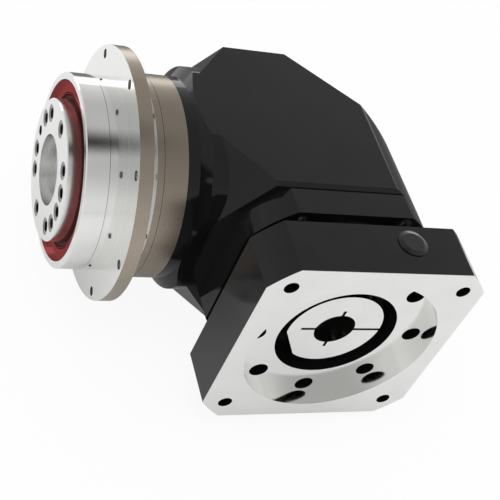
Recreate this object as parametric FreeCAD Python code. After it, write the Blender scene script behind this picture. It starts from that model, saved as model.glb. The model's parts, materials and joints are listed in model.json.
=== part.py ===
# Right-angle planetary gear reducer with a rotating output flange and a clamped motor shaft.
# Frame: origin at the centre of the mounting flange's front face, +X out along the output axis,
# +Y along the input axis towards the motor, +Z up, both shafts lying flat. Millimetres.
import FreeCAD, Part
import math
import os

V = FreeCAD.Vector

# Output disc, hub and seal
OUTPUT_FACE = 29.0
DISC_EDGE = 0.6
OUTPUT_BORE_R = 20.0
OUTPUT_BORE_DEPTH = 12.0
OUTPUT_RELIEF_R = 15.0
OUTPUT_RELIEF_DEPTH = 8.0
OUTPUT_HOLE_INSET = 8.5
OUTPUT_HOLE_STEP = 22.5
OUTPUT_THREAD_STEPS = (0, 2, 3, 5, 6, 8, -2, -3, -4, -5, -6)
OUTPUT_THREAD_R = 2.9
OUTPUT_THREAD_DEPTH = 12.0
OUTPUT_MOUTH_WIDTH = 2.3
OUTPUT_MOUTH_DEPTH = 0.5
DOWEL_STEP = 4
DOWEL_R = 3.0
DOWEL_DEPTH = 8.0
SEAL_RECESS = 2.6
SEAL_LENGTH = 4.3
SEAL_LIP_GAP = 0.1
# Seal section: shares of its length back from its face, and of its reach out from the lip
SEAL_SECTION = ((0.0, 1.0), (0.0, 0.36), (0.12, 0.33), (0.0, 0.3), (0.0, 0.26), (0.12, 0.23), (0.04, 0.2),
                (0.2, 0.0), (0.36, 0.0), (0.6, 0.3), (1.0, 0.3), (1.0, 1.0))

# Mounting flange and register
FLANGE_R = 72.5
FLANGE_LENGTH = 8.0
FLANGE_HOLE_R = 2.75
FLANGE_HOLE_COUNT = 8
FLANGE_HOLE_INSET = 5.0
REGISTER_R = 55.0
REGISTER_WALL = 5.0
REGISTER_SPAN = 15.0
REGISTER_LENGTH = 10.1
FRONT_RING_LENGTH = 12.9
FRONT_RING_WALL = 4.0
FRONT_RING_EDGE = 0.6
FRONT_SPIGOT_LENGTH = 3.9
REAR_NECK_STEP = 0.5
REAR_NECK_LENGTH = 6.6
BAND_LENGTH = 4.2

# Output bearings, back to back on either side of the flange housing's shoulder
OUTPUT_BEARING_WIDTH = 11.0
OUTPUT_SHOULDER_LENGTH = 4.0
OUTPUT_SHOULDER_HEIGHT = 3.0
OUTPUT_LAND_HEIGHT = 4.0
OUTPUT_LAND_LENGTH = 2.0
OUTPUT_ROLLERS = 20
SPACER_WALL = 3.0
NUT_LENGTH = 2.8
NUT_WALL = 3.2

# Planetary set
MODULE = 1.75
SUN_TEETH = 18
PLANET_TEETH = 18
PLANET_COUNT = 3
PRESSURE_ANGLE = 20.0
TOOTH_THINNING = 0.12
ROOT_CLEARANCE = 0.25
RING_GEAR_LENGTH = 13.5
RING_WALL = 9.1
RING_SPIGOT_LENGTH = 3.0
RING_SPIGOT_WALL = 4.0
PLANET_WIDTH = 18.0
PLANET_BORE_R = 10.0
PIN_R = 6.0
PIN_SEAT = 2.2
WASHER_LENGTH = 1.0
WASHER_R = 12.5
SIDE_GAP = 0.1
POCKET_GAP = 1.0
CARRIER_RING_GAP = 1.5
CARRIER_PLATE = 6.0
SUN_PASSAGE_GAP = 1.0

# Case ring between ring gear and bevel casing
CASE_RING_LENGTH = 6.8
CASE_SPIGOT_LENGTH = 3.0
CASE_RING_BORE_GAP = 2.0
CASE_SCREW_COUNT = 8
CASE_SCREW_R = 2.0
CASE_SCREW_LENGTH = 16.0

# Bevel casing
INPUT_SETBACK = 78.0
NOSE_STEP = 4.84
NOSE_FLARE_LENGTH = 4.7
NOSE_BAND_LENGTH = 4.2
CASING_HALF = 60.0
LEDGE_Y = 58.4
LEDGE_CHAMFER = 2.0
CASING_TOP = 50.6
FACET_RUN = 0.8
SLOPE_START = 8.5
CASING_CORNER_STEP = 7.3
CHAMBER_GAP = 3.0
CHAMBER_END_GAP = 5.0
CARRIER_END_GAP = 2.4

# Sun shaft and its bearings
SUN_NECK_R = 12.5
SUN_SEAT_R = 15.0
SUN_BEARING_R = 27.5
SUN_BEARING_WIDTH = 15.0
SUN_ROLLERS = 12
SUN_SPACER_LENGTH = 2.0
SUN_SHOULDER_HEIGHT = 2.4
SUN_SHOULDER_LENGTH = 2.5
SUN_LIP = 2.5
CIRCLIP_LENGTH = 1.5
CIRCLIP_GROOVE = 1.2
CIRCLIP_HEIGHT = 2.4
CIRCLIP_OPENING = 9.6

# Bevel pair, one to one
BEVEL_TEETH = 20
BEVEL_MODULE = 2.8
BEVEL_FACE = 12.0
BEVEL_THINNING = 0.2
BEVEL_RIM = 5.0
WHEEL_BORE_R = 12.0
WHEEL_KEY = 5.0
WHEEL_KEY_INSET = 1.0
WHEEL_BACK_GAP = 1.0
WHEEL_NUT_R = 13.5
WHEEL_NUT_LENGTH = 4.0
WHEEL_THREAD_R = 9.0

# Input shaft, bearings and housing
PINION_SEAT_R = 22.5
PINION_BEARING_HEIGHT = 15.0
PINION_BEARING_WIDTH = 15.0
PINION_ROLLERS = 14
PINION_SPACER_LENGTH = 2.0
PINION_SHOULDER_HEIGHT = 3.0
PINION_SHOULDER_LENGTH = 3.0
PINION_SEAL_STEP = 0.5
PINION_NUT_LENGTH = 3.9
PINION_NUT_WALL = 6.0
INPUT_SPIGOT_WALL = 6.0
INPUT_SPIGOT_LIP = 3.0
BLOCK_INSET = 2.6
BLOCK_LENGTH = 17.7
INPUT_NECK_WALL = 9.0
INPUT_NECK_LENGTH = 13.4
INPUT_SEAL_LENGTH = 7.0
INPUT_SEAL_HEIGHT = 9.0
INPUT_SEAL_RIM = 2.0
INPUT_SEAL_RIM_LENGTH = 1.2
INPUT_SEAL_BEVEL = 1.0
INPUT_ROOM_HEIGHT = 10.5
O_RING_R = 1.0
O_RING_SQUEEZE = 0.2
O_RING_SETBACK = 5.5
BLOCK_SCREW_X = 31.7
BLOCK_SCREW_INSET = 5.4
BLOCK_SCREW_R = 2.5
BLOCK_SCREW_REACH = 12.0

# Motor adapter, collet and clamp
ADAPTER_HALF = 65.0
ADAPTER_CORNER_STEP = 17.5
ADAPTER_LENGTH = 32.8
ADAPTER_BORE_GAP = 6.8
ADAPTER_SPIGOT_LENGTH = 2.5
PILOT_R = 55.0
PILOT_DEPTH = 10.0
MOTOR_HOLE_INSET = 10.0
MOTOR_HOLE_R = 4.1
MOTOR_HOLE_DEPTH = 22.0
ADAPTER_SCREW_COUNT = 8
ADAPTER_SCREW_START = 90.0
ADAPTER_SCREW_INSET = 6.5
ADAPTER_SCREW_R = 3.0
ADAPTER_SCREW_SINK = 14.0
ADAPTER_SCREW_REACH = 10.0
SCREW_HEAD_GAP = 0.5
COLLET_STEP = 6.5
COLLET_SINK = 3.1
COLLET_SLOT = 1.8
MOTOR_SHAFT_R = 12.0
MOTOR_SHAFT_DEPTH = 56.0
CLAMP_WALL = 12.4
CLAMP_LENGTH = 15.2
CLAMP_RELIEF = 4.7
CLAMP_FLAT_CUT = 2.5
CLAMP_FLAT_ANGLE = 120.0
CLAMP_SCREW_R = 2.5
CLAMP_SCREW_INSET = 7.8
CLAMP_SCREW_HALF = 12.0
PLUG_R = 8.6
PLUG_HOLE_R = 7.0
PLUG_STEM = 6.0
PLUG_HEAD = 0.6
PLUG_BEVEL_RUN = 2.6
PLUG_BEVEL_RISE = 1.0

# Bearing rollers: gaps to run in, and shares of the bearing's section
RACE_GAP = 0.03
NEEDLE_GAP = 0.03
ROLLER_TILT = 12.0
ROLLER_SHARE = 0.24
ROLLER_LENGTH_SHARE = 0.66
RIB_WIDTH_SHARE = 0.09
RIB_HEIGHT_SHARE = 0.4
CAGE_WALL_SHARE = 0.16
CAGE_INSET_SHARE = 0.03

# Socket-head screws: sizes as shares of the shank's radius
SCREW_HEAD_SHARE = 5 / 3
SCREW_HEAD_LENGTH_SHARE = 2.0
SCREW_SOCKET_SHARE = 0.96
SCREW_SOCKET_DEPTH_SHARE = 1.0

# Places along the output axis, worked out from the lengths above
FRONT_RING_FACE = REGISTER_LENGTH + FRONT_RING_LENGTH
BAND_FRONT = -FLANGE_LENGTH - REAR_NECK_LENGTH
RING_FRONT = BAND_FRONT - BAND_LENGTH
RING_BACK = RING_FRONT - RING_GEAR_LENGTH
CASE_RING_BACK = RING_BACK - CASE_RING_LENGTH
INPUT_X = CASE_RING_BACK - INPUT_SETBACK

# Gear radii
RING_TEETH = SUN_TEETH + 2 * PLANET_TEETH
SUN_PITCH_R = MODULE * SUN_TEETH / 2
PLANET_PITCH_R = MODULE * PLANET_TEETH / 2
RING_PITCH_R = MODULE * RING_TEETH / 2
CENTRE_R = SUN_PITCH_R + PLANET_PITCH_R
RING_TIP_R = RING_PITCH_R - MODULE
RING_ROOT_R = RING_PITCH_R + MODULE * (1 + ROOT_CLEARANCE)
PLANET_TIP_R = PLANET_PITCH_R + MODULE
SUN_TIP_R = SUN_PITCH_R + MODULE
BEVEL_PITCH_R = BEVEL_MODULE * BEVEL_TEETH / 2
BEVEL_SLANT = BEVEL_PITCH_R * math.sqrt(2)
BEVEL_TIP_R = BEVEL_PITCH_R + BEVEL_MODULE / math.sqrt(2)

# Radii of the output end and its mounting flange
DISC_R = REGISTER_R - REGISTER_SPAN
OUTPUT_HOLE_PITCH_R = DISC_R - OUTPUT_HOLE_INSET
OUTPUT_LAND_R = DISC_R + OUTPUT_LAND_HEIGHT
FLANGE_HOLE_PITCH_R = FLANGE_R - FLANGE_HOLE_INSET
REAR_NECK_R = REGISTER_R - REAR_NECK_STEP

# Radii and half widths of the input end, from the shaft outwards
PINION_SEAL_R = PINION_SEAT_R - PINION_SEAL_STEP
PINION_BEARING_R = PINION_SEAT_R + PINION_BEARING_HEIGHT
SPIGOT_R = PINION_BEARING_R + INPUT_SPIGOT_WALL
INPUT_NECK_R = SPIGOT_R + INPUT_NECK_WALL
INPUT_ROOM_R = PINION_SEAT_R + INPUT_ROOM_HEIGHT
INPUT_SEAL_R = PINION_SEAL_R + INPUT_SEAL_HEIGHT
COLLET_R = PINION_SEAT_R - COLLET_STEP
CLAMP_R = COLLET_R + CLAMP_WALL
CLAMP_FLAT = CLAMP_R - CLAMP_FLAT_CUT
CLAMP_SCREW_OFFSET = CLAMP_R - CLAMP_SCREW_INSET
ADAPTER_BORE_R = CLAMP_R + ADAPTER_BORE_GAP
CASING_CORNER_R = CASING_HALF + CASING_CORNER_STEP
BLOCK_HALF = CASING_HALF - BLOCK_INSET
BLOCK_SCREW_Z = BLOCK_HALF - BLOCK_SCREW_INSET
ADAPTER_CORNER_R = ADAPTER_HALF + ADAPTER_CORNER_STEP
MOTOR_HOLE_PITCH_R = ADAPTER_CORNER_R - MOTOR_HOLE_INSET
ADAPTER_SCREW_PITCH_R = PILOT_R - ADAPTER_SCREW_INSET

# Radii of the bands behind the flange
BAND_R = RING_ROOT_R + RING_WALL
RING_SPIGOT_R = RING_ROOT_R + RING_SPIGOT_WALL
NOSE_R = CASING_HALF + NOSE_STEP
CARRIER_R = RING_TIP_R - CARRIER_RING_GAP
CASE_BORE_R = CARRIER_R + CASE_RING_BORE_GAP
BEARING_SEAT_R = REGISTER_R - REGISTER_WALL
SEAL_SEAT_R = REGISTER_R - FRONT_RING_WALL
CASE_SCREW_PITCH_R = (CASE_BORE_R + RING_SPIGOT_R) / 2
FRONT_SPIGOT_R = (BEARING_SEAT_R + REGISTER_R) / 2
FRONT_SPIGOT_END = REGISTER_LENGTH + FRONT_SPIGOT_LENGTH
CASE_SCREW_SEAT = RING_BACK - RING_SPIGOT_LENGTH - SCREW_HEAD_LENGTH_SHARE * CASE_SCREW_R

# Planets stand as evenly as the tooth counts let them mesh
MESH_STEPS = SUN_TEETH + RING_TEETH
PLANET_ANGLES = [round(k * MESH_STEPS / PLANET_COUNT) * 360.0 / MESH_STEPS for k in range(PLANET_COUNT)]

# Planet and carrier places
PLANET_MID = (RING_FRONT + RING_BACK) / 2
PLANET_FRONT = PLANET_MID + PLANET_WIDTH / 2
PLANET_BACK = PLANET_MID - PLANET_WIDTH / 2
POCKET_FRONT = PLANET_FRONT + WASHER_LENGTH + SIDE_GAP
POCKET_BACK = PLANET_BACK - WASHER_LENGTH - SIDE_GAP
CARRIER_BACK = POCKET_BACK - CARRIER_PLATE
PIN_FRONT = POCKET_FRONT + PIN_SEAT
OUTPUT_SHOULDER_BACK = -OUTPUT_SHOULDER_LENGTH / 2
OUTPUT_SHOULDER_FRONT = OUTPUT_SHOULDER_LENGTH / 2
REAR_BEARING_BACK = OUTPUT_SHOULDER_BACK - OUTPUT_BEARING_WIDTH
FRONT_BEARING_FRONT = OUTPUT_SHOULDER_FRONT + OUTPUT_BEARING_WIDTH

# Sun shaft and bevel wheel places
SUN_FRONT = POCKET_FRONT - SIDE_GAP
SUN_TEETH_BACK = POCKET_BACK
CHAMBER_FRONT = CARRIER_BACK - CARRIER_END_GAP
SUN_BEARING_FRONT = CHAMBER_FRONT - SUN_LIP
SUN_BEARING_MID = SUN_BEARING_FRONT - SUN_BEARING_WIDTH
SUN_REAR_FRONT = SUN_BEARING_MID - SUN_SPACER_LENGTH
SUN_BEARING_BACK = SUN_REAR_FRONT - SUN_BEARING_WIDTH
WHEEL_TEETH_BACK = INPUT_X + BEVEL_PITCH_R
WHEEL_NOSE = INPUT_X + BEVEL_PITCH_R * (1 - BEVEL_FACE / BEVEL_SLANT)

# Places along the input axis
BLOCK_END = LEDGE_Y + BLOCK_LENGTH
NECK_END = BLOCK_END + INPUT_NECK_LENGTH
MOTOR_FACE = NECK_END + ADAPTER_LENGTH
PILOT_FLOOR = MOTOR_FACE - PILOT_DEPTH
COLLET_FACE = PILOT_FLOOR - COLLET_SINK
CLAMP_BACK = COLLET_FACE - CLAMP_LENGTH
CLAMP_MID = COLLET_FACE - CLAMP_LENGTH / 2
PINION_NOSE = BEVEL_PITCH_R * (1 - BEVEL_FACE / BEVEL_SLANT)
PINION_NUT_END = BLOCK_END + PINION_NUT_LENGTH
PINION_OUTER_MID = BLOCK_END - PINION_BEARING_WIDTH
PINION_INNER_END = PINION_OUTER_MID - PINION_SPACER_LENGTH
PINION_INNER_START = PINION_INNER_END - PINION_BEARING_WIDTH
PINION_SHOULDER_START = PINION_INNER_START - PINION_SHOULDER_LENGTH
SPIGOT_START = PINION_INNER_START - INPUT_SPIGOT_LIP
INPUT_SEAL_END = NECK_END - ADAPTER_SPIGOT_LENGTH / 2
INPUT_SEAL_START = INPUT_SEAL_END - INPUT_SEAL_LENGTH
BLOCK_SCREW_SEAT = BLOCK_END - SCREW_HEAD_LENGTH_SHARE * BLOCK_SCREW_R
BLOCK_SCREW_LENGTH = BLOCK_SCREW_SEAT - LEDGE_Y + BLOCK_SCREW_REACH
O_RING_PLACE = LEDGE_Y - O_RING_SETBACK
O_RING_FLOOR_R = SPIGOT_R - 2 * O_RING_R + O_RING_SQUEEZE
ADAPTER_SCREW_SEAT = PILOT_FLOOR - ADAPTER_SCREW_SINK
CLAMP_SCREW_X = INPUT_X - CLAMP_SCREW_OFFSET
CLAMP_SCREW_SEAT = CLAMP_SCREW_HALF - SCREW_HEAD_LENGTH_SHARE * CLAMP_SCREW_R

# An axis is its origin, its direction and the two directions that angles are counted between
OUTPUT = (V(0, 0, 0), V(1, 0, 0), V(0, 0, 1), V(0, -1, 0))
INPUT = (V(INPUT_X, 0, 0), V(0, 1, 0), V(0, 0, 1), V(1, 0, 0))
ASKEW = V(0.3, 0.5, 0.8)
FAR = 400.0
JOIN_TOLERANCE = 0.0001


def radial(axis, degrees):
    """Unit direction away from the axis at an angle round it."""
    turn = math.radians(degrees)
    return axis[2] * math.cos(turn) + axis[3] * math.sin(turn)


def place(axis, along, radius=0.0, degrees=0.0):
    """Point at a distance along an axis, out from it and round it."""
    return axis[0] + axis[1] * along + radial(axis, degrees) * radius


def even(count, start=0.0):
    """Angles of a full circle shared out evenly."""
    return [start + 360.0 * k / count for k in range(count)]


def turned(axis, profile):
    """Solid of revolution from a closed profile of (along, radius) points."""
    points = [place(axis, along, radius) for along, radius in profile]
    face = Part.Face(Part.makePolygon(points + points[:1]))
    solid = face.revolve(axis[0], axis[1], 360)
    return solid if solid.Volume > 0 else solid.reversed()


def sleeve(axis, start, end, inner, outer):
    """Plain tube between two places on an axis."""
    return turned(axis, [(start, inner), (start, outer), (end, outer), (end, inner)])


def rod(axis, start, end, radius, out=0.0, degrees=0.0):
    """Cylinder parallel to an axis."""
    low = min(start, end)
    return Part.makeCylinder(radius, abs(end - start), place(axis, low, out, degrees), axis[1])


def rods(axis, start, end, radius, out, angles):
    """Ring of equal cylinders round an axis."""
    return [rod(axis, start, end, radius, out, a) for a in angles]


def box(x, y, z):
    """Block between two places on each of the three axes."""
    size = [high - low for low, high in (x, y, z)]
    return Part.makeBox(size[0], size[1], size[2], V(x[0], y[0], z[0]))


def beyond(point, normal):
    """Large block that fills the space on the far side of a plane."""
    block = Part.makeBox(2 * FAR, 2 * FAR, FAR, V(-FAR, -FAR, 0))
    block.Placement = FreeCAD.Placement(point, FreeCAD.Rotation(V(0, 0, 1), normal))
    return block


def joined(shapes):
    """One clean solid from overlapping or touching ones."""
    return shapes[0].fuse(shapes[1:], JOIN_TOLERANCE).removeSplitter()


def socket_screw(base, along, radius, length):
    """Socket-head screw; its head stands on the base point and its shank runs along."""
    head_length = radius * SCREW_HEAD_LENGTH_SHARE
    head = Part.makeCylinder(radius * SCREW_HEAD_SHARE, head_length, base, along * -1)
    shank = Part.makeCylinder(radius, length, base, along)
    top = base - along * head_length
    side = along.cross(ASKEW).normalize() * (radius * SCREW_SOCKET_SHARE)
    other = along.cross(side)
    corners = []
    for degrees in even(6):
        turn = math.radians(degrees)
        corners.append(top + side * math.cos(turn) + other * math.sin(turn))
    hexagon = Part.Face(Part.makePolygon(corners + corners[:1]))
    return joined([head, shank]).cut(hexagon.extrude(along * (radius * SCREW_SOCKET_DEPTH_SHARE)))


def involute(angle):
    return math.tan(angle) - angle


def flank_angle(radius, pitch_r, pitch_half):
    """Half the angle that a tooth covers at a radius, from what it covers on the pitch circle."""
    pressure = math.radians(PRESSURE_ANGLE)
    base_r = pitch_r * math.cos(pressure)
    here = math.acos(min(1.0, base_r / radius))
    return pitch_half + involute(pressure) - involute(here)


def flank(pitch_r, pitch_half, low_r, high_r):
    """Start, middle and end of a flank as (radius, half angle)."""
    base_r = pitch_r * math.cos(math.radians(PRESSURE_ANGLE))
    start = max(low_r, base_r)
    return [(r, flank_angle(r, pitch_r, pitch_half)) for r in (start, (start + high_r) / 2, high_r)]


def spur_outline(middle, teeth, low_r, high_r, thickening, turn=0.0):
    """Face of a toothed wheel: teeth reach from low_r to high_r, the first one at the turn angle."""
    pitch_r = MODULE * teeth / 2
    half = math.pi / (2 * teeth) + thickening / (2 * pitch_r)
    steps = flank(pitch_r, half, low_r, high_r)

    def at(radius, angle):
        return middle + radial(OUTPUT, math.degrees(angle)) * radius

    edges = []
    for k in range(teeth):
        mid = math.radians(turn) + 2 * math.pi * k / teeth
        following = mid + 2 * math.pi / teeth
        rise = [at(r, mid - a) for r, a in steps]
        fall = [at(r, mid + a) for r, a in reversed(steps)]
        foot = steps[0][1]
        down = at(low_r, mid + foot)
        up = at(low_r, following - foot)
        if steps[0][0] > low_r:
            edges.append(Part.LineSegment(at(low_r, mid - foot), rise[0]))
            edges.append(Part.LineSegment(fall[2], down))
        edges.append(Part.Arc(*rise))
        edges.append(Part.Arc(rise[2], at(high_r, mid), fall[0]))
        edges.append(Part.Arc(*fall))
        edges.append(Part.Arc(down, at(low_r, (mid + following) / 2), up))
    sorted_edges = Part.sortEdges([e.toShape() for e in edges])[0]
    return Part.Face(Part.Wire(sorted_edges))


def bevel_tooth(apex, axis_way, out, side):
    """One straight bevel tooth, drawn square to the pitch line and tapered towards the apex."""
    generator = (axis_way + out).normalize()
    across = (out - axis_way).normalize()
    pitch_point = apex + generator * BEVEL_SLANT
    virtual_r = BEVEL_SLANT
    virtual_half = (math.pi * BEVEL_MODULE / 2 - BEVEL_THINNING) / (2 * virtual_r)
    low_r = virtual_r - BEVEL_MODULE * (1 + ROOT_CLEARANCE)
    high_r = virtual_r + BEVEL_MODULE
    steps = flank(virtual_r, virtual_half, low_r, high_r)
    centre = pitch_point - across * virtual_r
    sunk_r = low_r - BEVEL_MODULE / 2
    foot = steps[0][1]

    def at(radius, angle, scale):
        point = centre + across * (radius * math.cos(angle)) + side * (radius * math.sin(angle))
        return apex + (point - apex) * scale

    sections = []
    for scale in (1.0, 1 - BEVEL_FACE / BEVEL_SLANT):
        rise = [at(r, -a, scale) for r, a in steps]
        fall = [at(r, a, scale) for r, a in reversed(steps)]
        left = at(sunk_r, -foot, scale)
        right = at(sunk_r, foot, scale)
        edges = [Part.LineSegment(left, rise[0]), Part.Arc(*rise), Part.LineSegment(rise[2], fall[0]),
                 Part.Arc(*fall), Part.LineSegment(fall[2], right), Part.LineSegment(right, left)]
        sections.append(Part.Wire([e.toShape() for e in edges]))
    return Part.makeLoft(sections, True, True)


def bevel_gear(axis, turn, hub):
    """Bevel gear whose cone apex is where the axes cross; hub is the rest of its turned profile."""
    apex = INPUT[0]
    start = axis[1].dot(apex - axis[0])
    root_depth = BEVEL_MODULE * (1 + ROOT_CLEARANCE) / math.sqrt(2)
    profile = []
    for scale in (1.0, 1 - BEVEL_FACE / BEVEL_SLANT):
        profile.append((start + (BEVEL_PITCH_R + root_depth) * scale, (BEVEL_PITCH_R - root_depth) * scale))
    blank = turned(axis, profile + hub)
    teeth = []
    for degrees in even(BEVEL_TEETH, turn):
        out = radial(axis, degrees)
        teeth.append(bevel_tooth(apex, axis[1], out, axis[1].cross(out)))
    return joined([blank] + teeth)


def tapered_bearing(axis, big, small, bore_r, outer_r, count):
    """Cup, cone and caged rollers of a bearing whose rollers are thick at one end."""
    way = 1 if small > big else -1
    width = abs(small - big)
    middle = (big + small) / 2
    mean_r = (bore_r + outer_r) / 2
    roller_r = (outer_r - bore_r) * ROLLER_SHARE
    tilt = math.radians(ROLLER_TILT)
    slant = mean_r / math.sin(tilt)
    taper = math.asin(roller_r / slant)
    length = width * ROLLER_LENGTH_SHARE

    def race(along, angle, gap):
        height = mean_r / math.tan(tilt) + (middle - along) * way
        return height * math.tan(angle) + gap

    cup = turned(axis, [(big, outer_r), (small, outer_r), (small, race(small, tilt + taper, RACE_GAP)),
                        (big, race(big, tilt + taper, RACE_GAP))])
    rib = big + way * width * RIB_WIDTH_SHARE
    rib_r = race(rib, tilt - taper, roller_r * RIB_HEIGHT_SHARE)
    cone = turned(axis, [(big, bore_r), (small, bore_r), (small, race(small, tilt - taper, -RACE_GAP)),
                         (rib, race(rib, tilt - taper, -RACE_GAP)), (rib, rib_r), (big, rib_r)])

    def slope(degrees):
        return axis[1] * (-way * math.cos(tilt)) + radial(axis, degrees) * math.sin(tilt)

    def roller(degrees):
        line = slope(degrees)
        foot = place(axis, middle, mean_r, degrees) - line * (length / 2)
        fall = roller_r * length / 2 / slant
        return Part.makeCone(roller_r - fall, roller_r + fall, length, foot, line)

    def window(degrees):
        line = slope(degrees)
        side = axis[1].cross(radial(axis, degrees))
        through = line.cross(side) * (2 * roller_r)
        centre = place(axis, middle, mean_r, degrees) - through * 0.5
        reach = length / 2 + 2 * RACE_GAP
        corners = []
        for end, edge in ((-1, -1), (-1, 1), (1, 1), (1, -1)):
            wide = roller_r * (1 + end * reach / slant) + 2 * RACE_GAP
            corners.append(centre + line * (end * reach) + side * (edge * wide))
        return Part.Face(Part.makePolygon(corners + corners[:1])).extrude(through)

    wall = roller_r * CAGE_WALL_SHARE
    start = big + way * width * CAGE_INSET_SHARE
    end = small - way * width * CAGE_INSET_SHARE
    cage = turned(axis, [(start, race(start, tilt, -wall)), (end, race(end, tilt, -wall)),
                         (end, race(end, tilt, wall)), (start, race(start, tilt, wall))])
    angles = even(count, 180.0 / count)
    cage = cage.cut([window(a) for a in angles])
    return cup, cone, Part.makeCompound([cage] + [roller(a) for a in angles])


def output_carrier():
    """Output disc, hub and planet carrier: pockets for the planets are milled from the rim."""
    body = turned(OUTPUT, [(OUTPUT_FACE, 0), (OUTPUT_FACE, DISC_R - DISC_EDGE),
                           (OUTPUT_FACE - DISC_EDGE, DISC_R), (REAR_BEARING_BACK, DISC_R),
                           (REAR_BEARING_BACK, CARRIER_R), (CARRIER_BACK, CARRIER_R), (CARRIER_BACK, 0)])
    land = rod(OUTPUT, REAR_BEARING_BACK - OUTPUT_LAND_LENGTH, REAR_BEARING_BACK, OUTPUT_LAND_R)
    bore_end = OUTPUT_FACE - OUTPUT_BORE_DEPTH
    relief_end = bore_end - OUTPUT_RELIEF_DEPTH
    cuts = [rod(OUTPUT, bore_end, OUTPUT_FACE, OUTPUT_BORE_R),
            rod(OUTPUT, relief_end, bore_end, OUTPUT_RELIEF_R),
            rod(OUTPUT, CARRIER_BACK, POCKET_FRONT, SUN_TIP_R + SUN_PASSAGE_GAP)]
    for step in OUTPUT_THREAD_STEPS:
        angle = step * OUTPUT_HOLE_STEP
        foot = OUTPUT_FACE - OUTPUT_THREAD_DEPTH
        cuts.append(rod(OUTPUT, foot, OUTPUT_FACE, OUTPUT_THREAD_R, OUTPUT_HOLE_PITCH_R, angle))
        mouth = place(OUTPUT, OUTPUT_FACE - OUTPUT_MOUTH_DEPTH, OUTPUT_HOLE_PITCH_R, angle)
        cuts.append(Part.makeCone(OUTPUT_THREAD_R, OUTPUT_THREAD_R + OUTPUT_MOUTH_WIDTH,
                                  OUTPUT_MOUTH_DEPTH, mouth, OUTPUT[1]))
    cuts.append(rod(OUTPUT, OUTPUT_FACE - DOWEL_DEPTH, OUTPUT_FACE, DOWEL_R,
                    OUTPUT_HOLE_PITCH_R, DOWEL_STEP * OUTPUT_HOLE_STEP))
    cuts += rods(OUTPUT, POCKET_BACK, POCKET_FRONT, PLANET_TIP_R + POCKET_GAP, CENTRE_R, PLANET_ANGLES)
    cuts += rods(OUTPUT, CARRIER_BACK, PIN_FRONT, PIN_R, CENTRE_R, PLANET_ANGLES)
    return joined([body, land]).cut(cuts)


def planet_gear(degrees):
    """Planet gear in mesh with the sun and the ring gear."""
    root_r = PLANET_PITCH_R - MODULE * (1 + ROOT_CLEARANCE)
    turn = degrees + 180 - 180 / PLANET_TEETH + degrees * SUN_TEETH / PLANET_TEETH
    middle = place(OUTPUT, PLANET_BACK, CENTRE_R, degrees)
    face = spur_outline(middle, PLANET_TEETH, root_r, PLANET_TIP_R, -TOOTH_THINNING, turn)
    blank = face.extrude(OUTPUT[1] * PLANET_WIDTH)
    return blank.cut(rod(OUTPUT, PLANET_BACK, PLANET_FRONT, PLANET_BORE_R, CENTRE_R, degrees))


def planet_needles(degrees):
    """Full ring of needle rollers between a planet and its pin."""
    needle_r = (PLANET_BORE_R - PIN_R) / 2 - NEEDLE_GAP
    ring_r = (PLANET_BORE_R + PIN_R) / 2
    count = int(math.pi / math.asin((needle_r + NEEDLE_GAP) / ring_r))
    middle = place(OUTPUT, PLANET_BACK, CENTRE_R, degrees)
    needles = []
    for angle in even(count):
        foot = middle + radial(OUTPUT, angle) * ring_r
        needles.append(Part.makeCylinder(needle_r, PLANET_WIDTH, foot, OUTPUT[1]))
    return Part.makeCompound(needles)


def thrust_washers():
    """Washers on both sides of each planet."""
    washers = []
    for degrees in PLANET_ANGLES:
        for start in (PLANET_FRONT + SIDE_GAP, PLANET_BACK - SIDE_GAP - WASHER_LENGTH):
            disc = rod(OUTPUT, start, start + WASHER_LENGTH, WASHER_R, CENTRE_R, degrees)
            washers.append(disc.cut(rod(OUTPUT, start, start + WASHER_LENGTH, PIN_R, CENTRE_R, degrees)))
    return Part.makeCompound(washers)


def ring_gear():
    """Internal gear with a spigot at each end."""
    front = RING_FRONT + RING_SPIGOT_LENGTH
    back = RING_BACK - RING_SPIGOT_LENGTH
    body = turned(OUTPUT, [(front, 0), (front, RING_SPIGOT_R), (RING_FRONT, RING_SPIGOT_R),
                           (RING_FRONT, BAND_R), (RING_BACK, BAND_R), (RING_BACK, RING_SPIGOT_R),
                           (back, RING_SPIGOT_R), (back, 0)])
    turn = 180.0 * PLANET_TEETH / RING_TEETH + 180.0 / RING_TEETH
    space = spur_outline(place(OUTPUT, back), RING_TEETH, RING_TIP_R, RING_ROOT_R, TOOTH_THINNING, turn)
    return body.cut(space.extrude(OUTPUT[1] * (front - back)))


def flange_housing():
    """Mounting flange, register and output bearing seats."""
    shoulder_r = BEARING_SEAT_R - OUTPUT_SHOULDER_HEIGHT
    seat = RING_FRONT + RING_SPIGOT_LENGTH
    outside = [(FRONT_SPIGOT_END, BEARING_SEAT_R), (FRONT_SPIGOT_END, FRONT_SPIGOT_R),
               (REGISTER_LENGTH, FRONT_SPIGOT_R), (REGISTER_LENGTH, REGISTER_R), (0, REGISTER_R),
               (0, FLANGE_R), (-FLANGE_LENGTH, FLANGE_R),
               (-FLANGE_LENGTH, REAR_NECK_R), (BAND_FRONT, REAR_NECK_R), (BAND_FRONT, BAND_R),
               (RING_FRONT, BAND_R), (RING_FRONT, RING_SPIGOT_R)]
    inside = [(seat, RING_SPIGOT_R), (seat, BEARING_SEAT_R), (OUTPUT_SHOULDER_BACK, BEARING_SEAT_R),
              (OUTPUT_SHOULDER_BACK, shoulder_r), (OUTPUT_SHOULDER_FRONT, shoulder_r),
              (OUTPUT_SHOULDER_FRONT, BEARING_SEAT_R)]
    holes = rods(OUTPUT, -FLANGE_LENGTH, 0, FLANGE_HOLE_R, FLANGE_HOLE_PITCH_R, even(FLANGE_HOLE_COUNT))
    return turned(OUTPUT, outside + inside).cut(holes)


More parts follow.
